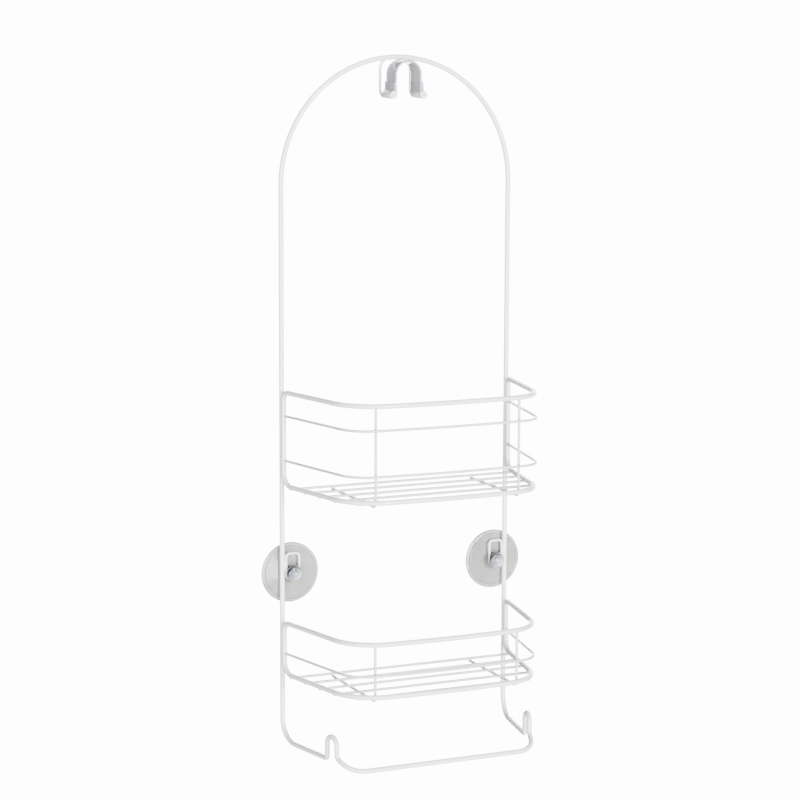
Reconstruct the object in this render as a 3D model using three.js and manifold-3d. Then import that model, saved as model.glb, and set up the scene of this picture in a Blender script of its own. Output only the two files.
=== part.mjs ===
// Hanging shower caddy: a bent frame wire with two welded wire baskets, a wire hanger with a
// soft grip strap that drapes over the shower arm, and two suction cups that slide in wire loops.
// Millimetres, +Z up, wall towards +Y. The origin is the top of the shower arm in the arch's plane.
import * as THREE from 'three';
import { mergeVertices } from 'three/addons/utils/BufferGeometryUtils.js';
import Module from 'manifold-3d';

// Wires
const frameWire = 4.5;          // diameter of the frame wire and of the basket frames
const thinWire = 2.5;           // diameter of rails, floor wires, supports and hanger
const loopWire = 2.2;           // diameter of the suction cup loops
const weldGap = 0.2;            // space left between wires that are welded side by side

// Main frame
const frameWidth = 220;         // between the centres of the two uprights
const archCrown = 4;            // height of the wire's centre at the top of the arch
const sideRunHeight = -601.1;   // the two runs that come forward at the bottom
const uprightBend = 20;
const sideTaper = 10.7;         // degrees by which the sides close in towards the front
const humpReach = 71;           // from the uprights forward to the hump's back leg
const humpPitch = 14.9;         // between the hump's legs
const humpRise = 21.3;
const humpFootBend = 3;
const barDrop = 4.9;            // towel bar below the side runs
const barReach = 104.7;
const elbowRise = 8.8;          // the humps' front legs turn towards the bar this far above it
const elbowBend = 4;
const barEndBend = 19.5;
const barInset = 1.8;           // from the sides' line in to the bar's corners

// Baskets, measured on the centre line of the basket frame's wire
const basketDepth = 113.7;      // uprights to the sides' meeting with the front
const frontBow = 3.8;           // the front's middle stands this much further out
const frontBend = 600;
const cornerBend = 40;
const railCornerBend = 27;
const rimBackBend = 7;
const floorBackBend = 12;
const upperRim = -286.2;
const upperRails = [-307.2, -346.9];
const upperFloor = -369.3;
const lowerRim = -492.7;
const lowerRails = [-520.6];
const lowerFloor = -539.2;
const floorWireCount = 5;
const supportSpacing = 136;     // between the two upright support wires
const supportBend = 3.5;
const supportTail = 3;          // length of a support behind the rearmost floor wire
const floorWireOverhang = 2.2;  // past the centre line of the side rail
const pressedThickness = 0.35;  // left of a floor wire where it is pressed under the side rail
const bendTolerance = 0.12;     // between a bend's arc and its chords

// Hanger and grip strap
const armRadius = 10.65;        // half-inch pipe shower arm
const strapFit = 0.15;          // between arm and strap
const strapThickness = 2.5;
const strapLap = 0.8;           // extra thickness where the strap's end is folded back
const strapWidth = 22;
const strapSetback = 4;         // from the arch's plane to the strap's rear edge
const pegOffset = 1.2;          // strap's outer face to the centre of a peg
const crownBend = 11;
const pegHeight = -28.5;
const pegBend = 4;
const pegTip = 1.5;             // peg past the strap's front edge
const sleeveWall = 1.55;
const sleeveFit = 0.3;

// Suction cups and their loops
const cupHeights = { left: -449.9, right: -454.8 };
const loopForward = 1.2;        // the loops' plane in front of the uprights' centres
const loopTopBend = 3.2;
const cupTravel = 12.6;         // free slide of a cup's neck up its loop
const neckRadius = 4.6;
const neckFit = 0.15;           // neck to wire at the loop's bottom
const neckPlay = 0.55;          // neck to wire at the loop's sides
const knobOverhang = 0.25;      // knob past the loop's outer side
const knobFit = 0.35;           // loop wire to the knob's back, and to the cup's shoulder
const knobHeight = 7.8;
const uprightFit = 0.4;         // upright's back to the cup's shoulder
const cupRadius = 27.2;
const cupDepth = 3.4;           // shoulder to sealing rim
const rimLand = 1.8;            // flat sealing rim
const cupHollow = 1.6;

const frameRadius = frameWire / 2;
const thinRadius = thinWire / 2;
const loopRadius = loopWire / 2;
const pegX = armRadius + strapFit + strapThickness + pegOffset;
const loopHalf = neckRadius + neckPlay + loopRadius;     // middle of a loop to its side's centre line
const knobRadius = loopHalf + loopRadius + knobOverhang;
const taper = THREE.MathUtils.degToRad(sideTaper);
const uprightX = frameWidth / 2;

const at = (x, y, z) => new THREE.Vector3(x, y, z);

// A wire's centre line: straight runs between corner points, each corner rounded by its own bend.
// Its stations are close together in bends and far apart on straight runs.
class WirePath extends THREE.Curve {
  constructor(corners, closed = false) {
    super();
    this.closed = closed;
    this.stations = [];
    const count = corners.length;
    corners.forEach((corner, i) => {
      if (!closed && (i === 0 || i === count - 1)) {
        const from = i === 0 ? corner : corners[i - 1];
        const to = i === 0 ? corners[1] : corner;
        const tangent = to.point.clone().sub(from.point).normalize();
        this.stations.push({ point: corner.point.clone(), tangent });
        return;
      }
      this.addBend(corners[(i + count - 1) % count].point, corner, corners[(i + 1) % count].point);
    });
  }

  addBend(before, { point, bend }, after) {
    const into = point.clone().sub(before).normalize();
    const out = after.clone().sub(point).normalize();
    const turn = into.angleTo(out);
    const inward = out.clone().addScaledVector(into, -out.dot(into)).normalize();
    const start = point.clone().addScaledVector(into, -bend * Math.tan(turn / 2));
    const centre = start.clone().addScaledVector(inward, bend);
    const chordAngle = Math.min(2 * Math.acos(1 - bendTolerance / bend), Math.PI / 8);
    const steps = Math.max(2, Math.ceil(turn / chordAngle));
    for (let i = 0; i <= steps; i++) {
      const angle = (turn * i) / steps;
      const place = centre.clone()
        .addScaledVector(inward, -bend * Math.cos(angle))
        .addScaledVector(into, bend * Math.sin(angle));
      const tangent = into.clone().multiplyScalar(Math.cos(angle))
        .addScaledVector(inward, Math.sin(angle));
      this.stations.push({ point: place, tangent });
    }
  }

  get spans() {
    return this.closed ? this.stations.length : this.stations.length - 1;
  }

  locate(u) {
    const along = u * this.spans;
    const index = Math.min(Math.floor(along + 1e-6), this.spans);
    const next = this.stations[(index + 1) % this.stations.length];
    return { here: this.stations[index % this.stations.length], next, part: along - index };
  }

  getPoint(u, target = new THREE.Vector3()) {
    const { here, next, part } = this.locate(u);
    return target.copy(here.point).lerp(next.point, Math.max(part, 0));
  }

  getTangent(u, target = new THREE.Vector3()) {
    return target.copy(this.locate(u).here.tangent);
  }

  getPointAt(u, target) {
    return this.getPoint(u, target);
  }

  getTangentAt(u, target) {
    return this.getTangent(u, target);
  }
}

// A closed loop of wire, or a wire with two cut ends.
function wireGeometry(corners, radius, closed) {
  const path = new WirePath(corners, closed);
  if (closed) return new THREE.TubeGeometry(path, path.spans, radius, 10, true);
  const section = new THREE.Shape().absarc(0, 0, radius, 0, 2 * Math.PI);
  return new THREE.ExtrudeGeometry(section, {
    extrudePath: path, steps: path.spans, curveSegments: 4, bevelEnabled: false,
  });
}

const plastic = (color, roughness) => new THREE.MeshStandardMaterial({ color, roughness, metalness: 0 });
const whiteCoat = () => plastic(0xf0f0ec, 0.35);
const clearVinyl = () => plastic(0x9a9994, 0.15);
const frostedVinyl = () => plastic(0xc9c8cc, 0.3);

function piece(name, geometry, material) {
  const mesh = new THREE.Mesh(geometry, material);
  mesh.name = name;
  return mesh;
}

// The same corners on the other side, in reverse order, so that a loop can run from side to side.
const mirrored = (corners) => corners.map(({ point, bend }) => (
  { point: at(-point.x, point.y, point.z), bend })).reverse();

// Half the width between the tapering sides, at a distance in front of the uprights.
const halfWidthAt = (reach) => uprightX - reach * Math.tan(taper);

// Frame wire: arch, uprights, side runs, a hump at the end of each and the towel bar.
function frameCorners() {
  const barHeight = sideRunHeight - barDrop;
  const humpTop = sideRunHeight + humpRise;
  const humpFront = humpReach + humpPitch * Math.cos(taper);
  const humpBend = humpPitch / 2 - 0.01;
  const onSide = (reach, height, bend) => ({ point: at(halfWidthAt(reach), -reach, height), bend });
  const right = [
    { point: at(uprightX, 0, archCrown), bend: uprightX - 0.01 },
    onSide(0, sideRunHeight, uprightBend),
    onSide(humpReach, sideRunHeight, humpFootBend),
    onSide(humpReach, humpTop, humpBend),
    onSide(humpFront, humpTop, humpBend),
    onSide(humpFront, barHeight + elbowRise, elbowBend),
    { point: at(halfWidthAt(barReach) - barInset, -barReach, barHeight), bend: barEndBend },
  ];
  return [...right, ...mirrored(right)];
}

// Plan of a basket wire: the right side's corner, the bowed front's middle, the left side's corner.
function frontCorners(height, bend, inset = 0) {
  const reach = basketDepth - inset;
  const corner = { point: at(halfWidthAt(reach), -reach, height), bend };
  const middle = { point: at(0, -reach - frontBow, height), bend: frontBend };
  return [corner, middle, ...mirrored([corner])];
}

const basketBack = frameWire + weldGap;   // centre line of a basket's rear wires, before the uprights

// Where the plan of a basket frame first meets a condition, between two of its stations.
function planPlace(reached, key) {
  const end = (x) => ({ point: at(x, -basketBack, 0) });
  const { stations } = new WirePath([end(uprightX), ...frontCorners(0, cornerBend), end(-uprightX)]);
  const past = stations.findIndex(({ point }) => reached(point));
  const [before, after] = [stations[past - 1].point, stations[past].point];
  return (value) => {
    const part = THREE.MathUtils.inverseLerp(before[key], after[key], value);
    return before.clone().lerp(after, part);
  };
}

// How far forward the frame's centre line lies at a distance from the middle, and the other way.
const frontReachAt = (x) => -planPlace((point) => point.x <= x, 'x')(x).y;
const planHalfAt = (reach) => planPlace((point) => -point.y >= reach, 'y')(-reach).x;

const wasm = await Module();
wasm.setup();

function solidOf(geometry) {
  const bare = geometry.clone();
  bare.deleteAttribute('normal');
  bare.deleteAttribute('uv');
  const { attributes, index } = mergeVertices(bare);
  const vertProperties = attributes.position.array;
  const triVerts = Uint32Array.from(index.array);
  return new wasm.Manifold(new wasm.Mesh({ numProp: 3, vertProperties, triVerts }));
}

function geometryOf(solid) {
  const { vertProperties, triVerts } = solid.getMesh();
  const geometry = new THREE.BufferGeometry();
  geometry.setAttribute('position', new THREE.BufferAttribute(vertProperties, 3));
  geometry.setIndex(new THREE.BufferAttribute(triVerts, 1));
  geometry.computeVertexNormals();
  return geometry;
}

// One basket, built about the height of its rim.
function basket(name, rimHeight, railHeights, floorHeight) {
  const group = new THREE.Group();
  group.name = name;
  group.position.z = rimHeight;
  const floor = floorHeight - rimHeight;
  const back = (x, z, bend) => ({ point: at(x, -basketBack, z), bend });

  const loop = [
    back(uprightX, 0, rimBackBend), ...frontCorners(0, cornerBend), back(-uprightX, 0, rimBackBend),
    back(-uprightX, floor, floorBackBend), ...frontCorners(floor, cornerBend).reverse(),
    back(uprightX, floor, floorBackBend),
  ];
  group.add(piece(`${name}_frame`, wireGeometry(loop, frameRadius, true), whiteCoat()));

  const supportX = supportSpacing / 2;
  const supportReach = frontReachAt(supportX) - frameRadius - thinRadius - weldGap;
  const railInset = frontReachAt(supportX) - supportReach - thinWire - weldGap;
  const railStart = basketBack + frameRadius + weldGap;
  railHeights.forEach((height, i) => {
    const level = height - rimHeight;
    const end = (side) => ({ point: at(side * halfWidthAt(railStart - basketBack), -railStart, level) });
    const corners = [end(1), ...frontCorners(level, railCornerBend, railInset), end(-1)];
    const label = railHeights.length > 1 ? `${name}_rail_${i + 1}` : `${name}_rail`;
    group.add(piece(label, wireGeometry(corners, thinRadius, false), whiteCoat()));
  });

  // Floor wires pass under the side rails, pressed flat there by the weld.
  const floorWireLevel = floor - frameRadius - weldGap - pressedThickness + thinRadius;
  const supportLevel = floorWireLevel - thinWire - weldGap;
  const firstReach = basketBack + floorBackBend;
  const lastReach = supportReach - supportBend - weldGap;
  const railClearance = solidOf(wireGeometry(loop, frameRadius + weldGap, true));
  for (let i = 0; i < floorWireCount; i++) {
    const reach = THREE.MathUtils.lerp(firstReach, lastReach, i / (floorWireCount - 1));
    const length = 2 * (planHalfAt(reach) + floorWireOverhang);
    const rod = new THREE.CylinderGeometry(thinRadius, thinRadius, length, 8);
    rod.rotateZ(Math.PI / 2).translate(0, -reach, floorWireLevel);
    const pressed = geometryOf(solidOf(rod).subtract(railClearance));
    group.add(piece(`${name}_floor_wire_${i + 1}`, pressed, whiteCoat()));
  }

  // The supports end under the rim's top, behind it.
  [['left', -1], ['right', 1]].forEach(([side, sign]) => {
    const corners = [
      { point: at(sign * supportX, -firstReach + supportTail, supportLevel) },
      { point: at(sign * supportX, -supportReach, supportLevel), bend: supportBend },
      { point: at(sign * supportX, -supportReach, frameRadius / 2) },
    ];
    group.add(piece(`${name}_support_${side}`, wireGeometry(corners, thinRadius, false), whiteCoat()));
  });
  return group;
}

// Hanger: a U of wire welded behind the arch, its ends turned forward as two pegs.
function hangerCorners() {
  const plane = frameRadius + thinRadius + weldGap;
  const tip = -strapSetback - strapWidth - pegTip;
  const right = [
    { point: at(pegX, tip, pegHeight) },
    { point: at(pegX, plane, pegHeight), bend: pegBend },
    { point: at(pegX, plane, archCrown), bend: crownBend },
  ];
  return [...right, ...mirrored(right)];
}

// Grip strap: draped over the arm, down both sides, each end rolled into a sleeve round a peg.
function strapGeometry() {
  const seat = armRadius + strapFit;
  const centreZ = -seat;
  const outer = seat + strapThickness;
  const lapOuter = outer + strapLap;
  const hole = thinRadius + sleeveFit;
  const sleeve = hole + sleeveWall;
  const meet = Math.acos((lapOuter - pegX) / sleeve);   // where the lap meets the sleeve's top
  const lapTop = (pegHeight + centreZ) / 2;
  const shape = new THREE.Shape();
  shape.moveTo(seat, centreZ);
  shape.lineTo(seat, pegHeight + sleeve);
  shape.absarc(pegX, pegHeight, sleeve, Math.PI, 2 * Math.PI + meet, false);
  shape.lineTo(lapOuter, lapTop - strapLap);
  shape.lineTo(outer, lapTop);
  shape.absarc(0, centreZ, outer, 0, Math.PI, false);
  shape.lineTo(-outer, lapTop);
  shape.lineTo(-lapOuter, lapTop - strapLap);
  shape.absarc(-pegX, pegHeight, sleeve, Math.PI - meet, 2 * Math.PI, false);
  shape.lineTo(-seat, pegHeight + sleeve);
  shape.absarc(0, centreZ, seat, Math.PI, 0, true);
  for (const side of [-1, 1]) {
    shape.holes.push(new THREE.Path().absarc(side * pegX, pegHeight, hole, 0, 2 * Math.PI));
  }
  const geometry = new THREE.ExtrudeGeometry(shape, {
    depth: strapWidth, curveSegments: 8, bevelEnabled: false,
  });
  geometry.rotateX(Math.PI / 2);
  return geometry.translate(0, -strapSetback, 0);
}

// A suction cup's loop stands against its upright's inner side.
const loopTouch = frameRadius + loopRadius + weldGap;
const loopOuterX = uprightX - Math.sqrt(loopTouch ** 2 - loopForward ** 2);
const cupX = loopOuterX - loopHalf;
const loopBelow = neckRadius + neckFit + loopRadius;
const loopAbove = neckRadius + cupTravel + loopRadius;

function loopCorners() {
  const bottomBend = loopHalf - 0.01;
  return [
    { point: at(loopHalf, 0, loopAbove), bend: loopTopBend },
    { point: at(loopHalf, 0, -loopBelow), bend: bottomBend },
    { point: at(-loopHalf, 0, -loopBelow), bend: bottomBend },
    { point: at(-loopHalf, 0, loopAbove), bend: loopTopBend },
  ];
}

// Suction cup, turned about its neck: knob in front of the loop, neck through it, dish behind it.
function cupGeometry() {
  const knobBack = -loopRadius - knobFit;
  const knobFront = knobBack - knobHeight;
  const shoulder = loopForward + frameRadius + uprightFit;
  const wall = shoulder + cupDepth;
  const hollow = wall - cupHollow;
  const landRadius = cupRadius - rimLand;
  const knobAt = (part) => knobFront + knobHeight * part;
  const dishAt = (part) => shoulder + cupDepth * part;
  const profile = [
    [0, knobFront], [knobRadius * 0.5, knobAt(0.07)], [knobRadius * 0.85, knobAt(0.27)],
    [knobRadius, knobAt(0.55)], [knobRadius * 0.94, knobAt(0.85)], [knobRadius * 0.72, knobBack],
    [neckRadius, knobBack], [neckRadius, loopRadius + knobFit],
    [neckRadius * 1.5, shoulder], [cupRadius * 0.6, dishAt(0.22)],
    [cupRadius * 0.9, dishAt(0.64)], [cupRadius, dishAt(0.88)],
    [cupRadius, wall], [landRadius, wall],
    [landRadius * 0.75, hollow + cupHollow * 0.38], [landRadius * 0.4, hollow + cupHollow * 0.08],
    [0, hollow],
  ].map(([radius, along]) => new THREE.Vector2(radius, along));
  return new THREE.LatheGeometry(profile, 24);
}

const caddy = new THREE.Group();
caddy.name = 'shower_caddy';
caddy.add(piece('frame_wire', wireGeometry(frameCorners(), frameRadius, true), whiteCoat()));
caddy.add(basket('upper_basket', upperRim, upperRails, upperFloor));
caddy.add(basket('lower_basket', lowerRim, lowerRails, lowerFloor));
caddy.add(piece('hanger_hook', wireGeometry(hangerCorners(), thinRadius, false), whiteCoat()));
caddy.add(piece('grip_strap', strapGeometry(), frostedVinyl()));

for (const [side, sign] of [['left', -1], ['right', 1]]) {
  const station = new THREE.Group();
  station.name = `${side}_cup_station`;
  station.position.set(sign * cupX, -loopForward, cupHeights[side]);
  station.add(piece(`${side}_cup_loop`, wireGeometry(loopCorners(), loopRadius, true), whiteCoat()));
  station.add(piece(`${side}_suction_cup`, cupGeometry(), clearVinyl()));
  caddy.add(station);
}

export default caddy;
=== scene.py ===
import math

import bmesh
import bpy
from mathutils import Matrix, Vector


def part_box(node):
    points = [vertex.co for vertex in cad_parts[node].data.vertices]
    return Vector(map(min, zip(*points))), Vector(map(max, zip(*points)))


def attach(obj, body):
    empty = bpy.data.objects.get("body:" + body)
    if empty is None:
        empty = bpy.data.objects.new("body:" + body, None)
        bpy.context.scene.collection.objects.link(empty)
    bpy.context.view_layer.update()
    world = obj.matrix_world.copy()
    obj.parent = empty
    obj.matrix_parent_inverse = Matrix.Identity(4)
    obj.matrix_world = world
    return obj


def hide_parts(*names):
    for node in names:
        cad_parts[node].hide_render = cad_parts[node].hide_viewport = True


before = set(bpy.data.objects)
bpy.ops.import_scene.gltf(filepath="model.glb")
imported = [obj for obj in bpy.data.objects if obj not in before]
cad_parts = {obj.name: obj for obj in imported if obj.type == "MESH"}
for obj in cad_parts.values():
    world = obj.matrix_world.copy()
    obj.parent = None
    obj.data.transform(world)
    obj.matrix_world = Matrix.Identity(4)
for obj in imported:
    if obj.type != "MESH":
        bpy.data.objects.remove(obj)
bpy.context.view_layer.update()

mm = 0.001
scene = bpy.context.scene


# A shader socket that can be used in sums. Any other node comes from a finish's add method.
class Value:
    def __init__(self, tree, socket):
        self.tree = tree
        self.socket = socket

    def math(self, operation, first, second):
        return self.tree.add("ShaderNodeMath", {"operation": operation}, {0: first, 1: second})

    def __add__(self, other):
        return self.math("ADD", self, other)

    def __radd__(self, other):
        return self.math("ADD", other, self)

    def __sub__(self, other):
        return self.math("SUBTRACT", self, other)

    def __rsub__(self, other):
        return self.math("SUBTRACT", other, self)

    def __mul__(self, other):
        return self.math("MULTIPLY", self, other)

    def __rmul__(self, other):
        return self.math("MULTIPLY", other, self)


class Finish:
    def __init__(self, name):
        self.material = bpy.data.materials.new(name)
        self.material.use_nodes = True
        self.tree = self.material.node_tree
        self.tree.nodes.clear()

    def add(self, kind, settings=None, values=None, out=0):
        node = self.tree.nodes.new(kind)
        for key, value in (settings or {}).items():
            setattr(node, key, value)
        for key, value in (values or {}).items():
            if isinstance(value, Value):
                self.tree.links.new(value.socket, node.inputs[key])
            else:
                node.inputs[key].default_value = value
        return Value(self, node.outputs[out]) if node.outputs else None

    def place(self):
        return self.add("ShaderNodeTexCoord", out=3)

    def painted(self, name):
        return self.add("ShaderNodeAttribute", {"attribute_name": name}, out=2)

    def noise(self, scale, detail, roughness):
        values = {"Vector": self.place(), "Scale": scale, "Detail": detail, "Roughness": roughness}
        return self.add("ShaderNodeTexNoise", values=values)

    def stretch(self, mask, low, high):
        values = {"Value": mask, "From Min": low, "From Max": high}
        return self.add("ShaderNodeMapRange", {"clamp": True}, values)

    def blend(self, mask, first, second):
        values = {0: mask, 6: first, 7: second}
        return self.add("ShaderNodeMix", {"data_type": "RGBA"}, values, out=2)

    def bump(self, height, depth, under=None):
        values = {"Height": height, "Distance": depth, "Strength": 1.0}
        if under:
            values["Normal"] = under
        return self.add("ShaderNodeBump", values=values)

    def surface(self, values):
        shader = self.add("ShaderNodeBsdfPrincipled", values=values)
        self.add("ShaderNodeOutputMaterial", values={"Surface": shader})
        return self.material


coat = {
    "thick": [(0.71, 0.715, 0.70, 1), (0.645, 0.65, 0.63, 1)],    # fresh, and clouded
    "thin": [(0.56, 0.565, 0.55, 1), (0.49, 0.495, 0.48, 1)],     # the thin wires' copy of the coat, painted greyer: a painted shade
    "dust": (0.62, 0.62, 0.59, 1),
    "dustAmount": 0.28,
    "clouds": 22,            # patterns, per metre
    "marks": 260,
    "peel": 620,
    "grain": 2600,
    "peelDepth": 0.008 * mm,
    "grainDepth": 0.0008 * mm,
}


# Thick white plastic coat over steel wire: faint clouding, orange peel, a few duller marks.
def coatFinish(name):
    f = Finish(name + "Coat")
    fresh, clouded = coat[name]
    clouds = f.stretch(f.noise(coat["clouds"], 4, 0.55), 0.35, 0.7)
    marks = f.stretch(f.noise(coat["marks"], 5, 0.65), 0.60, 0.74)
    peel = f.noise(coat["peel"], 2, 0.5)
    grain = f.noise(coat["grain"], 2, 0.5)
    colour = f.blend(clouds, fresh, clouded)
    colour = f.blend(marks * coat["dustAmount"], colour, coat["dust"])
    skin = f.bump(peel, coat["peelDepth"])
    skin = f.bump(grain, coat["grainDepth"], skin)
    return f.surface({
        "Base Color": colour,
        "Roughness": 0.27 + clouds * 0.10 + marks * 0.16,
        "Coat Weight": 0.35 - marks * 0.25,
        "Coat Roughness": 0.12,
        "IOR": 1.5,
        "Normal": skin,
    })


clear = {
    # The dark and light ends of the cup's painted light and shade: for the dish, then for the knob
    "deep": (0.05, 0.05, 0.052, 1),
    "light": (0.44, 0.44, 0.43, 1),
    "knobDeep": (0.015, 0.017, 0.025, 1),
    "knobLight": (0.52, 0.53, 0.60, 1),
    "haze": 90,              # patterns, per metre
    "flow": 380,
    "flowDepth": 0.05 * mm,
}


# Soft clear vinyl, a little smoky, with haze and flow marks of the mould. Each part's lightness is
# painted light and shade set on the cup's mesh, with random haze added.
def vinylFinish():
    f = Finish("clearVinyl")
    haze = f.stretch(f.noise(clear["haze"], 4, 0.6), 0.35, 0.72)
    flow = f.noise(clear["flow"], 3, 0.55)
    # the cup's painted light and shade, with random haze added
    paintedShading = f.painted("paintedShading") + (haze - 0.5) * 0.16
    dish = f.blend(paintedShading, clear["deep"], clear["light"])
    knob = f.blend(paintedShading, clear["knobDeep"], clear["knobLight"])
    return f.surface({
        "Base Color": f.blend(f.painted("knob"), dish, knob),
        "Roughness": 0.09 + haze * 0.10,
        "Transmission Weight": 0.15,
        "IOR": 1.45,
        "Coat Weight": 0.45 + haze * 0.25,
        "Coat Roughness": 0.06,
        "Normal": f.bump(flow, clear["flowDepth"]),
    })


grip = {
    "clear": (0.42, 0.43, 0.475, 1),
    "milky": (0.34, 0.35, 0.395, 1),
    # the colour of the rolls' painted light, also laid lightly on the lap
    "roll": (0.84, 0.84, 0.88, 1),
    "cloud": 120,                  # patterns, per metre
    "streaks": (900, 120, 900),
    "streakDepth": 0.05 * mm,
}


# The strap's vinyl is softer and milkier, with fine marks across its width; its rolls are painted
# lighter, a painted light.
def gripFinish():
    f = Finish("gripVinyl")
    cloud = f.stretch(f.noise(grip["cloud"], 4, 0.6), 0.35, 0.7)
    turned = f.add("ShaderNodeMapping", values={"Vector": f.place(), "Scale": grip["streaks"]})
    streaks = f.add("ShaderNodeTexNoise", values={"Vector": turned, "Scale": 1.0, "Detail": 3.0})
    strap = f.blend(cloud, grip["clear"], grip["milky"])
    return f.surface({
        "Base Color": f.blend(f.painted("roll"), strap, grip["roll"]),
        "Roughness": 0.16 + cloud * 0.14,
        "Transmission Weight": 0.2,
        "IOR": 1.45,
        "Coat Weight": 0.45 + cloud * 0.2,
        "Coat Roughness": 0.08,
        "Normal": f.bump(streaks, grip["streakDepth"]),
    })


thickCoat = coatFinish("thick")
# The thin wires wear a greyer copy of the same white coat: a painted shade
shadedThinCoat = coatFinish("thin")
clearVinyl = vinylFinish()
gripVinyl = gripFinish()
print("finishes made")


def finishPiece(name, bm, material, replaced, body="frame"):
    mesh = bpy.data.meshes.new(name)
    bm.to_mesh(mesh)
    bm.free()
    mesh.shade_smooth()
    mesh.materials.append(material)
    piece = bpy.data.objects.new(name, mesh)
    scene.collection.objects.link(piece)
    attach(piece, body)
    if replaced:
        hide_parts(*replaced)


# Points of a wire's centre line: corners are (place, bend radius) in millimetres.
def centreLine(corners, closed, sag=0.02):
    points = []
    count = len(corners)
    for i, (place, bend) in enumerate(corners):
        if not closed and i in (0, count - 1):
            points.append(Vector(place))
            continue
        here = Vector(place)
        arriving = (here - Vector(corners[i - 1][0])).normalized()
        leaving = (Vector(corners[(i + 1) % count][0]) - here).normalized()
        turn = arriving.angle(leaving)
        inward = (leaving - arriving * leaving.dot(arriving)).normalized()
        start = here - arriving * bend * math.tan(turn / 2)
        steps = max(3, math.ceil(turn / (2 * math.acos(1 - sag / bend))))
        for step in range(steps + 1):
            angle = turn * step / steps
            points.append(start + inward * bend * (1 - math.cos(angle))
                          + arriving * bend * math.sin(angle))
    return points


# Adds a round wire to a mesh. The cut ends of an open wire are rounded over by the coat.
def addWire(bm, corners, radius, closed=False, sides=28):
    points = [(point, 1.0) for point in centreLine(corners, closed)]
    if not closed:
        for end, inner in ((0, 1), (-1, -2)):
            tip = points[end][0]
            along = (points[inner][0] - tip).normalized()
            dome = [(tip + along * radius * (1 - math.cos(a)), math.sin(a))
                    for a in (math.radians(d) for d in (12, 32, 52, 72, 90))]
            points = dome + points[1:] if end == 0 else points[:-1] + dome[::-1]
    line = bpy.data.curves.new("line", "CURVE")
    line.dimensions = "3D"
    line.bevel_depth = radius * mm
    line.bevel_resolution = sides // 4 - 1
    line.use_fill_caps = not closed
    spline = line.splines.new("POLY")
    spline.points.add(len(points) - 1)
    spline.use_cyclic_u = closed
    for target, (point, width) in zip(spline.points, points):
        target.co = (*(point * mm), 1)
        target.radius = width
    holder = bpy.data.objects.new("line", line)
    scene.collection.objects.link(holder)
    bm.from_mesh(holder.to_mesh())
    bpy.data.objects.remove(holder)
    bpy.data.curves.remove(line)


# A weld where two wires touch, bridged by the coat: an oval bead, longest along one direction.
def addBead(bm, place, size, along=(1, 0, 0)):
    turn = Vector((1, 0, 0)).rotation_difference(Vector(along)).to_matrix().to_4x4()
    shape = Matrix.Diagonal((*(side * mm for side in size), 1))
    matrix = Matrix.Translation(Vector(place) * mm) @ turn @ shape
    bmesh.ops.create_icosphere(bm, subdivisions=2, radius=1.0, matrix=matrix)


# The coat's fillet round a wire that ends on another: a short flare, from tip towards the wire.
def addFlare(bm, place, along, radius, spread, length):
    turn = Vector((0, 0, 1)).rotation_difference(Vector(along)).to_matrix().to_4x4()
    matrix = Matrix.Translation(Vector(place) * mm) @ turn
    ring = bmesh.ops.create_circle(bm, segments=16, radius=(radius + spread) * mm, matrix=matrix)
    loop = list({edge for vert in ring["verts"] for edge in vert.link_edges})
    width = radius + spread
    for part in (0.25, 0.5, 0.75, 1.0):
        grown = bmesh.ops.extrude_edge_only(bm, edges=loop)["geom"]
        verts = [item for item in grown if isinstance(item, bmesh.types.BMVert)]
        loop = [item for item in grown if isinstance(item, bmesh.types.BMEdge)]
        narrower = radius * 0.98 + spread * (1 - part) ** 2
        centre = sum((vert.co for vert in verts), Vector()) / len(verts)
        space = Matrix.Translation(-centre)
        bmesh.ops.scale(bm, vec=[narrower / width] * 3, space=space, verts=verts)
        bmesh.ops.translate(bm, vec=Vector(along) * length * 0.25 * mm, verts=verts)
        width = narrower


def mirrored(corners):
    return [((-x, y, z), bend) for (x, y, z), bend in reversed(corners)]


def inMillimetres(node):
    low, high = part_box(node)
    return Vector(low) / mm, Vector(high) / mm


wires = {"thick": 2.25, "thin": 1.25, "loop": 1.1}      # radii
thickSides = 36
frameLow, frameHigh = inMillimetres("frame_wire")
uprightX = frameHigh.x - wires["thick"]
crown = frameHigh.z - wires["thick"]
barZ = frameLow.z + wires["thick"]
barReach = -frameLow.y - wires["thick"]
taper = math.tan(math.radians(10.7))

frameShape = {
    "run": 4.9,              # the side runs, above the towel bar
    "uprightBend": 20,
    "humpReach": 71,
    "humpPitch": 14.9,
    "humpRise": 21.3,
    "footBend": 3,
    "elbowRise": 8.8,
    "elbowBend": 4,
    "barBend": 19.5,
    "barInset": 1.8,
}


def sideX(reach):
    return uprightX - reach * taper


# One closed wire: arch, uprights, side runs, a hump at the end of each, and the towel bar.
def makeFrame():
    s = frameShape
    run = barZ + s["run"]
    top = run + s["humpRise"]
    front = s["humpReach"] + s["humpPitch"] * math.cos(math.atan(taper))
    hump = s["humpPitch"] / 2 - 0.01
    side = [
        ((uprightX, 0, crown), uprightX - 0.01),
        ((uprightX, 0, run), s["uprightBend"]),
        ((sideX(s["humpReach"]), -s["humpReach"], run), s["footBend"]),
        ((sideX(s["humpReach"]), -s["humpReach"], top), hump),
        ((sideX(front), -front, top), hump),
        ((sideX(front), -front, barZ + s["elbowRise"]), s["elbowBend"]),
        ((sideX(barReach) - s["barInset"], -barReach, barZ), s["barBend"]),
    ]
    bm = bmesh.new()
    addWire(bm, side + mirrored(side), wires["thick"], closed=True, sides=thickSides)
    finishPiece("frameWire", bm, thickCoat, ["frame_wire"])


makeFrame()
print("frame wire bent")

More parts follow.
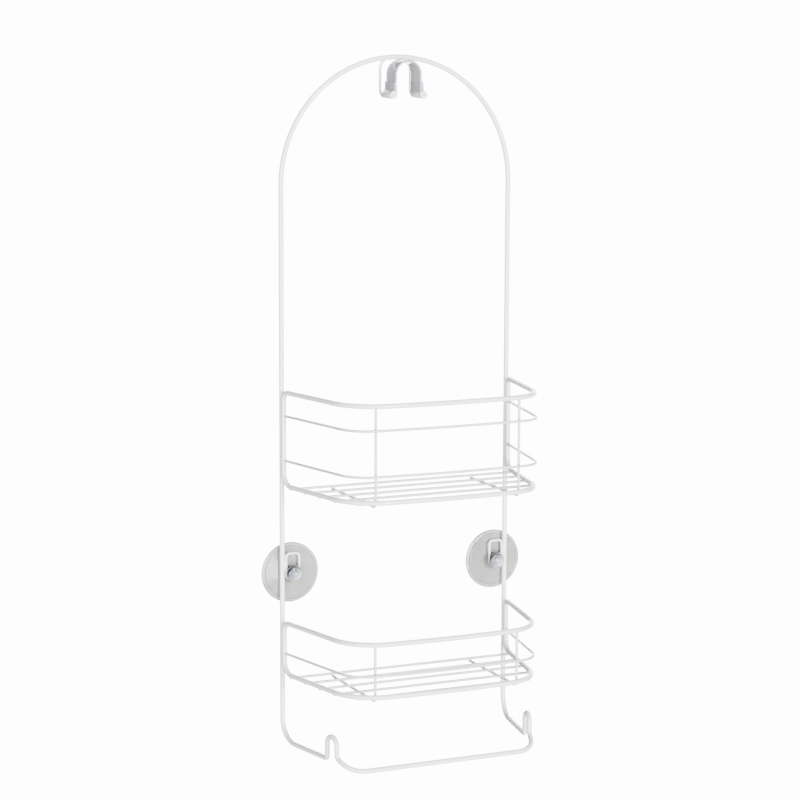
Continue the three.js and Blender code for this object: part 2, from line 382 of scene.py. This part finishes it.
basketShape = {
    "depth": 113.7,
    "bow": 3.8,
    "frontBend": 600,
    "cornerBend": 40,
    "railBend": 27,
    "rimBend": 7,
    "floorBend": 12,
    "supportX": 68,
    "supportBend": 3.5,
    "weldGap": 0.2,
    "floorOverhang": 2.2,
    "postWelds": (17, 22),         # to the uprights: below the rim, and above the floor
    "flareStart": 0.75,            # where a rail ends on an upright
    "flareSpread": 0.85,
    "flareLength": 2.0,
    "postBead": (7.5, 1.55, 1.3),  # half sizes, longest first
    "railBead": (1.9, 1.0, 1.0),
    "endBead": (2.6, 1.9, 1.55),
    "underBead": (1.75, 1.5, 0.95),
    "supportBead": (1.7, 0.95, 1.5),
}


def frontCorners(height, bend, inset=0.0):
    reach = basketShape["depth"] - inset
    corner = [((sideX(reach), -reach, height), bend)]
    middle = ((0, -reach - basketShape["bow"], height), basketShape["frontBend"])
    return corner + [middle] + mirrored(corner)


# Where the plan of a basket's frame passes: its half width at a reach, or its reach at a width.
def planLine(back):
    corners = [((uprightX, back, 0), 0)] + frontCorners(0, basketShape["cornerBend"])
    return centreLine(corners + [((-uprightX, back, 0), 0)], False)


def between(points, key, value):
    for first, second in zip(points, points[1:]):
        low, high = sorted((first[key], second[key]))
        if low <= value <= high and high > low:
            part = (value - first[key]) / (second[key] - first[key])
            return first.lerp(second, part)
    return points[-1]


def makeBasket(name, railNames):
    s = basketShape
    thick, thin, gap = wires["thick"], wires["thin"], s["weldGap"]
    low, high = inMillimetres(name + "_frame")
    rim, floor, back = high.z - thick, low.z + thick, high.y - thick
    plan = planLine(back)
    label = name.split("_")[0]

    # basket frame: rim, rear corners and floor edge in one closed wire
    bm = bmesh.new()
    loop = [((uprightX, back, rim), s["rimBend"])] + frontCorners(rim, s["cornerBend"])
    loop += [((-uprightX, back, rim), s["rimBend"]), ((-uprightX, back, floor), s["floorBend"])]
    loop += frontCorners(floor, s["cornerBend"])[::-1] + [((uprightX, back, floor), s["floorBend"])]
    addWire(bm, loop, thick, closed=True, sides=thickSides)
    finishPiece(label + "BasketFrame", bm, thickCoat, [name + "_frame"])

    welds = bmesh.new()
    for side in (-1, 1):
        for height in (rim - s["postWelds"][0], floor + s["postWelds"][1]):
            addBead(welds, (side * uprightX, back / 2, height), s["postBead"], (0, 0, 1))

    # rails
    supportReach = -between(plan[: len(plan) // 2 + 1], 0, s["supportX"]).y - thick - thin - gap
    inset = -between(plan, 0, s["supportX"]).y - supportReach - 2 * thin - gap
    start = -back + thick + gap
    for node in railNames:
        railLow, railHigh = inMillimetres(node)
        level = (railLow.z + railHigh.z) / 2
        half = sideX(start + back)
        corners = [((half, -start, level), 0)] + frontCorners(level, s["railBend"], inset)
        corners += [((-half, -start, level), 0)]
        bm = bmesh.new()
        addWire(bm, corners, thin)
        tail = node.split("rail")[-1].strip("_")
        finishPiece(label + "Rail" + tail, bm, shadedThinCoat, [node])
        for side in (-1, 1):
            along = Vector((-side * taper, -1, 0)).normalized()
            root = (side * half, -start + s["flareStart"], level)
            addFlare(welds, root, along, thin, s["flareSpread"], s["flareLength"])
            spot = (side * s["supportX"], -supportReach - thin, level)
            addBead(welds, spot, s["railBead"])

    # floor wires, pressed into the side rails at their ends
    nodes = [n for n in sorted(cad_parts) if n.startswith(name + "_floor_wire")]
    for count, node in enumerate(nodes, 1):
        wireLow, wireHigh = inMillimetres(node)
        y = (wireLow.y + wireHigh.y) / 2
        z = wireLow.z + thin
        bm = bmesh.new()
        addWire(bm, [((wireLow.x, y, z), 0), ((wireHigh.x, y, z), 0)], thin)
        finishPiece(f"{label}FloorWire{count}", bm, shadedThinCoat, [node])
        for side in (-1, 1):
            x = side * (wireHigh.x - s["floorOverhang"])
            lean = Vector((-side * taper, -1, 0)).normalized()
            addBead(welds, (x - side * 1.0, y, z + 0.35), s["endBead"], lean)
            spot = (side * s["supportX"], y, z - thin - gap / 2)
            addBead(welds, spot, s["underBead"], (0, 1, 0))

    # supports
    for side, word in ((-1, "left"), (1, "right")):
        node = f"{name}_support_{word}"
        near, far = inMillimetres(node)
        x, y, z = (near.x + far.x) / 2, near.y + thin, near.z + thin
        corners = [((x, far.y, z), 0), ((x, y, z), s["supportBend"]), ((x, y, far.z), 0)]
        bm = bmesh.new()
        addWire(bm, corners, thin)
        finishPiece(f"{label}Support{word.title()}", bm, shadedThinCoat, [node])
        middle = y - thin - gap / 2
        addBead(welds, (x, middle, rim - 0.4), s["supportBead"])
        addBead(welds, (x, middle, floor), s["supportBead"])
    finishPiece(label + "BasketWelds", welds, thickCoat, [])
    print(name.replace("_", " "), "built")


makeBasket("upper_basket", ["upper_basket_rail_1", "upper_basket_rail_2"])
makeBasket("lower_basket", ["lower_basket_rail"])

hangerShape = {"crownBend": 11, "pegBend": 4, "bead": (6.5, 1.3, 1.3)}


def makeHanger():
    thin = wires["thin"]
    low, high = inMillimetres("hanger_hook")
    half, plane, peg = high.x - thin, high.y - thin, low.z + thin
    side = [
        ((half, low.y, peg), 0),
        ((half, plane, peg), hangerShape["pegBend"]),
        ((half, plane, high.z - thin), hangerShape["crownBend"]),
    ]
    bm = bmesh.new()
    addWire(bm, side + mirrored(side), thin)
    finishPiece("hangerHook", bm, thickCoat, ["hanger_hook"])
    bm = bmesh.new()
    addBead(bm, (0, plane / 2 + 0.5, high.z - thin - 0.1), hangerShape["bead"])
    finishPiece("hangerWeld", bm, thickCoat, [])


makeHanger()

loopShape = {"topBend": 3.2, "bead": (6.2, 1.2, 1.0)}


def makeLoop(side):
    node = side + "_cup_loop"
    low, high = inMillimetres(node)
    r = wires["loop"]
    x0, x1, y = low.x + r, high.x - r, (low.y + high.y) / 2
    bend = (x1 - x0) / 2 - 0.01
    corners = [((x1, y, high.z - r), loopShape["topBend"]), ((x1, y, low.z + r), bend),
               ((x0, y, low.z + r), bend), ((x0, y, high.z - r), loopShape["topBend"])]
    bm = bmesh.new()
    addWire(bm, corners, r, closed=True)
    finishPiece(side + "CupLoop", bm, thickCoat, [node])
    outer = x1 if side == "right" else x0
    upright = uprightX if side == "right" else -uprightX
    bm = bmesh.new()
    middle = (low.z + high.z) / 2 + 1
    addBead(bm, (outer * 0.6 + upright * 0.4, y * 0.6, middle), loopShape["bead"], (0, 0, 1))
    finishPiece(side + "LoopWeld", bm, thickCoat, [])


for side in ("left", "right"):
    makeLoop(side)
print("hanger and cup loops welded")


# Turns a profile of (radius, y) points about an axis along Y through a centre.
def addTurned(bm, centre, profile, closed=False, steps=48):
    verts = [bm.verts.new(Vector((centre.x + r, y, centre.z)) * mm) for r, y in profile]
    pairs = list(zip(verts, verts[1:] + verts[:1])) if closed else list(zip(verts, verts[1:]))
    edges = [bm.edges.new(pair) for pair in pairs]
    bmesh.ops.spin(bm, geom=verts + edges, cent=Vector((centre.x, 0, centre.z)) * mm,
                   axis=(0, 1, 0), angle=2 * math.pi, steps=steps, use_merge=True)
    bmesh.ops.remove_doubles(bm, verts=bm.verts, dist=0.001 * mm)
    bmesh.ops.recalc_face_normals(bm, faces=bm.faces)


cupShape = {
    "knob": 7.6,
    "knobDepth": 7.8,
    "neck": 4.55,
    "dishDepth": 3.4,
    "steps": 96,
    # radius and distance behind the knob's front, and the painted light and shade there: dark on
    # the steep ring walls and round the knob's side and back
    "rings": [
        (0, 1.1, 0.95), (0.8, 1.05, 0.95), (1.5, 0.75, 0.55), (1.9, 0.3, 0.1), (2.3, 0.05, 0.5),
        (2.8, 0.0, 0.7), (3.2, 0.15, 0.5), (3.5, 0.7, 0.05), (3.9, 0.95, 0.3), (4.4, 0.85, 0.7),
        (4.8, 0.55, 0.6), (5.2, 0.5, 0.2), (5.8, 0.75, 0.25), (6.4, 1.4, 0.6), (7.0, 2.5, 0.4),
        (7.5, 3.7, 0.35), (7.6, 4.6, 0.2), (7.4, 5.7, 0.15), (6.8, 6.7, 0.15), (6.0, 7.55, 0.15),
        (5.3, 7.8, 0.15),
    ],
    # part of the radius, distance behind the shoulder, and the painted light and shade: dark by the
    # neck, a painted highlight on the ring inside the lip, dark again at the edge
    "dish": [
        (0.230, 0.02, 0.25), (0.270, 0.12, 0.3), (0.320, 0.26, 0.4), (0.370, 0.42, 0.45),
        (0.430, 0.6, 0.48), (0.509, 0.87, 0.50), (0.642, 1.27, 0.52), (0.755, 1.62, 0.54),
        (0.853, 1.92, 0.5), (0.883, 2.05, 0.38), (0.898, 1.98, 0.35), (0.917, 2.15, 0.8),
        (0.943, 2.5, 0.85), (0.966, 2.72, 0.5), (0.981, 2.88, 0.2),
    ],
    # the hollow back: radius, distance in front of the wall, and its painted light and shade
    "back": [
        (23.6, 0.3, 0.4), (21, 0.75, 0.5), (17, 1.15, 0.5), (12, 1.5, 0.45), (6, 1.7, 0.3),
        (0, 1.75, 0.3),
    ],
    "lean": {"left": (-0.4, 1.2), "right": (-1.9, 0.8)},   # how far the knob strays sideways and up
    "leanLength": 5.0,       # the knob's depth over which it strays
    # how strongly the knob is painted lighter at its lower right and darker at its upper left:
    # painted light and shade
    "knobSideShading": 1.1,
    # how strongly the dish is painted lighter to its right and darker to its left: painted light
    # and shade
    "dishSideShading": 0.25,
}


# A suction cup: ringed knob, neck through the loop, thin dish behind.
def makeCup(side):
    s = cupShape
    node = side + "_suction_cup"
    low, high = inMillimetres(node)
    centre = (low + high) / 2
    radius = (high.x - low.x) / 2
    front, wall = low.y, high.y
    knobBack = front + s["knobDepth"]
    shoulder = wall - s["dishDepth"]
    k, n = s["knob"], s["neck"]
    profile = [(r, front + y, paintedShading) for r, y, paintedShading in s["rings"]]
    # the neck under the knob is painted dark, a painted shade
    profile += [
        (n + 0.3, knobBack + 0.2, 0.1), (n, knobBack + 0.8, 0.1), (n, shoulder - 1.3, 0.15),
        (n + 0.4, shoulder - 0.5, 0.2),
    ]
    profile += [(r * radius, shoulder + y, paintedShading) for r, y, paintedShading in s["dish"]]
    # the rim's very edge is painted dark, a painted shade
    profile += [
        (radius - 0.12, wall - 0.4, 0.1), (radius, wall - 0.22, 0.05),
        (radius - 0.08, wall - 0.05, 0.1), (radius - 0.4, wall, 0.6),
        (radius - 1.7, wall - 0.02, 0.6),
    ]
    profile += [(r, wall - y, paintedShading) for r, y, paintedShading in s["back"]]
    bm = bmesh.new()
    addTurned(bm, centre, [(r, y) for r, y, paintedShading in profile], steps=s["steps"])
    paintedShadingLayer = bm.verts.layers.float.new("paintedShading")
    knobLayer = bm.verts.layers.float.new("knob")
    for vert in bm.verts:
        x, y, z = vert.co / mm
        away = math.hypot(x - centre.x, z - centre.z)
        nearest = min(profile, key=lambda point: math.hypot(point[0] - away, point[1] - y))
        inKnob = y < knobBack + 1
        knobPaintedSide = (x - centre.x - z + centre.z) / k / 1.4      # the knob's lower right is painted lighter and its upper left darker
        # the dish is painted lighter towards its right and darker towards its left
        dishPaintedSide = 1 + s["dishSideShading"] * (x - centre.x) / radius
        vert[paintedShadingLayer] = nearest[2] * (1 + s["knobSideShading"] * knobPaintedSide if inKnob else dishPaintedSide)
        vert[knobLayer] = 1.0 if inKnob else 0.0
        stray = min(1.0, max(0.0, (knobBack - y) / s["leanLength"]))
        vert.co.x += s["lean"][side][0] * stray * mm
        vert.co.z += s["lean"][side][1] * stray * mm
    finishPiece(side + "SuctionCup", bm, clearVinyl, [node], side + "_cup")


for side in ("left", "right"):
    makeCup(side)
print("suction cups turned")

strapShape = {
    "inner": 10.95,          # round the shower arm
    "thick": 1.9,
    "width": 22,
    "waist": 1.3,            # how much narrower it is below the arm
    "pegX": 14.5,
    "pegRise": 3.1,          # above the bottom of the roll
    "hole": 1.35,            # of the roll round a peg
    "roll": 3.35,            # outside radius of the roll
    "lap": 0.9,              # thickness of the end that is welded back up the outside
    "lapTop": 11.5,          # above the peg
    "lapWidth": 22.3,
    "lapPaintedLight": 0.15,        # how much of the rolls' painted light the lap gets, painted over its shade
    "sway": 0.45,            # nothing soft is quite straight
}


# Adds a soft strip with round edges; a station is (x, z, thickness, width), y its middle.
def addStrip(bm, stations, y):
    rings = []
    for index, (x, z, thick, width) in enumerate(stations):
        before, after = stations[max(index - 1, 0)], stations[min(index + 1, len(stations) - 1)]
        along = Vector((after[0] - before[0], 0, after[1] - before[1])).normalized()
        outward = Vector((-along.z, 0, along.x))
        half = thick / 2
        ring = []
        for end in (1, -1):
            for step in range(9):
                angle = math.radians(-90 + 22.5 * step) * end
                across = end * (width / 2 - half + half * math.cos(angle))
                place = Vector((x, y + across, z)) + outward * half * math.sin(angle)
                ring.append(bm.verts.new(place * mm))
        rings.append(ring)
    for first, second in zip(rings, rings[1:]):
        for i in range(len(first)):
            bm.faces.new((first[i - 1], first[i], second[i], second[i - 1]))
    bm.faces.new(rings[0])
    bm.faces.new(rings[-1])


# The grip strap hangs over the arm; each end goes round a peg and is welded back on itself.
def makeStrap():
    s = strapShape
    low, high = inMillimetres("grip_strap")
    middleY = (low.y + high.y) / 2
    pegZ = low.z + s["pegRise"]
    middle = s["inner"] + s["thick"] / 2
    wrap = (s["hole"] + s["roll"]) / 2
    half = [(middle * math.cos(a), middle * math.sin(a) - s["inner"])
            for a in (math.radians(90 - 6 * step) for step in range(16))]
    half += [(middle, z) for z in (-12.5, -15, -18, -21)] + [(middle + 0.03, pegZ + 3.5)]
    half += [(s["pegX"] + wrap * math.cos(a), pegZ + wrap * math.sin(a))
             for a in (math.radians(180 + 15 * step) for step in range(6))]

    def station(x, z):
        fall = min(1.0, max(0.0, -z / (-pegZ - 4)))
        return (x, z, s["thick"], s["width"] - s["waist"] * math.sin(math.pi * fall))

    bm = bmesh.new()
    stations = [station(-x, z) for x, z in half[:0:-1]] + [station(x, z) for x, z in half]
    addStrip(bm, stations, middleY)
    outside = s["inner"] + s["thick"] + s["lap"] / 2
    lap = [
        (s["pegX"] + 1.3, pegZ + 2.2, s["lap"] * 1.3, s["width"]),
        (s["pegX"] + 0.6, pegZ + 2.9, s["lap"] * 1.3, s["width"]),
        (outside + 0.5, pegZ + 3.9, s["lap"] * 1.15, s["width"]),
        (outside + 0.1, pegZ + 5.0, s["lap"], s["lapWidth"]),
        (outside, pegZ + 6.5, s["lap"], s["lapWidth"]),
        (outside, pegZ + 8.5, s["lap"], s["lapWidth"]),
        (outside, pegZ + s["lapTop"] - 0.7, s["lap"], s["lapWidth"]),
        (outside - 0.05, pegZ + s["lapTop"] - 0.25, s["lap"] * 0.85, s["lapWidth"] - 0.3),
        (outside - 0.2, pegZ + s["lapTop"], s["lap"] * 0.5, s["lapWidth"] - 0.9),
    ]
    front, back, rounding = middleY - s["width"] / 2, middleY + s["width"] / 2, 0.7
    hole, roll = s["hole"], s["roll"]
    ring = [(hole + 0.25, front), (hole, front + 0.4), (hole, back - 0.4), (hole + 0.25, back)]
    ring += [(roll - rounding, back), (roll - 0.2, back - 0.2), (roll, back - rounding)]
    ring += [(roll, front + rounding), (roll - 0.2, front + 0.2), (roll - rounding, front)]
    for side in (-1, 1):
        addStrip(bm, [(side * x, z, thick, width) for x, z, thick, width in lap], middleY)
        addTurned(bm, Vector((side * s["pegX"], 0, pegZ)), ring, closed=True)
    # painted light: the rolls get it whole, the lap a little of it to lift its shade
    paintedLightLayer = bm.verts.layers.float.new("roll")
    for vert in bm.verts:
        x, y, z = vert.co / mm
        inRoll = math.hypot(abs(x) - s["pegX"], z - pegZ) < roll + 0.1
        inLap = abs(x) > s["inner"] + s["thick"] + 0.05
        vert[paintedLightLayer] = 1.0 if inRoll else s["lapPaintedLight"] if inLap else 0.0
        fall = min(1.0, max(0.0, -z / 24))
        vert.co.y += s["sway"] * fall * math.sin(x * 0.2 + 0.6) * mm
    bmesh.ops.recalc_face_normals(bm, faces=bm.faces)
    finishPiece("gripStrap", bm, gripVinyl, ["grip_strap"])


makeStrap()
print("grip strap draped")

viewPoint = {
    "target": (4.05, 0, -300.66),
    "azimuth": -24.43,
    "elevation": 8.66,
    "roll": 0.2,
    "distance": 2308.2,
    "lens": 115.99,
}


def placeCamera():
    v = viewPoint
    az, el, roll = (math.radians(v[key]) for key in ("azimuth", "elevation", "roll"))
    right = Vector((math.cos(az), math.sin(az), 0))
    back = Vector((math.sin(az) * math.cos(el), -math.cos(az) * math.cos(el), math.sin(el)))
    up = back.cross(right)
    across = right * math.cos(roll) + up * math.sin(roll)
    upward = back.cross(across)
    camera = bpy.data.objects.new("camera", bpy.data.cameras.new("camera"))
    camera.data.lens = v["lens"]
    camera.data.sensor_width = 36
    camera.data.clip_end = 20
    place = (Vector(v["target"]) + back * v["distance"]) * mm
    turn = Matrix((across, upward, back)).transposed().to_4x4()
    camera.matrix_world = Matrix.Translation(place) @ turn
    scene.collection.objects.link(camera)
    scene.camera = camera


placeCamera()

studio = {
    "floor": (0.75, 0.75, 0.745, 1),
    "floorLevel": -2.0,      # a shower arm is about this far above the shower's floor
    "floorRadius": 3.4,
    "backdrop": 14.0,        # the pale background's brightness
    "floorGlow": 0.4,        # light that the pale floor throws back up
    "room": 0.15,            # soft light from all round
    "lights": {              # azimuth and elevation, strength, and how soft in degrees
        "key": (11, 9, 7.5, 7),
        "wide": (-10.5, -6, 8.2, 44),
        "left": (-52, 0, 4.0, 30),
        "low": (52, -22, 1.4, 10),
        "behind": (150, 5, 9, 60),
    },
}


def addLight(name, azimuth, elevation, strength, softness):
    az, el = math.radians(azimuth), math.radians(elevation)
    place = (math.sin(az) * math.cos(el), -math.cos(az) * math.cos(el), math.sin(el))
    lamp = bpy.data.lights.new(name, "SUN")
    lamp.energy, lamp.angle = strength, math.radians(softness)
    light = bpy.data.objects.new(name, lamp)
    light.location = place
    light.rotation_euler = (-Vector(place)).to_track_quat("-Z", "Y").to_euler()
    scene.collection.objects.link(light)


def dressStudio():
    bm = bmesh.new()
    place = Matrix.Translation((0, 0, studio["floorLevel"]))
    radius = studio["floorRadius"]
    bmesh.ops.create_circle(bm, cap_ends=True, segments=96, radius=radius, matrix=place)
    mesh = bpy.data.meshes.new("floor")
    bm.to_mesh(mesh)
    bm.free()
    f = Finish("paleFloor")
    mesh.materials.append(f.surface({
        "Base Color": studio["floor"],
        "Roughness": 0.7,
        "Emission Color": studio["floor"],
        "Emission Strength": studio["floorGlow"],
    }))
    floor = bpy.data.objects.new("floor", mesh)
    scene.collection.objects.link(floor)
    for name, values in studio["lights"].items():
        addLight(name, *values)
    world = bpy.data.worlds.new("studio")
    world.use_nodes = True
    tree = world.node_tree
    seen = tree.nodes.new("ShaderNodeLightPath").outputs["Is Camera Ray"]
    level = tree.nodes.new("ShaderNodeMapRange")
    level.inputs["To Min"].default_value = studio["room"]
    level.inputs["To Max"].default_value = studio["backdrop"]
    background = tree.nodes["Background"]
    background.inputs["Color"].default_value = (1, 1, 1, 1)
    tree.links.new(seen, level.inputs["Value"])
    tree.links.new(level.outputs["Result"], background.inputs["Strength"])
    scene.world = world


dressStudio()
print("camera and studio set")
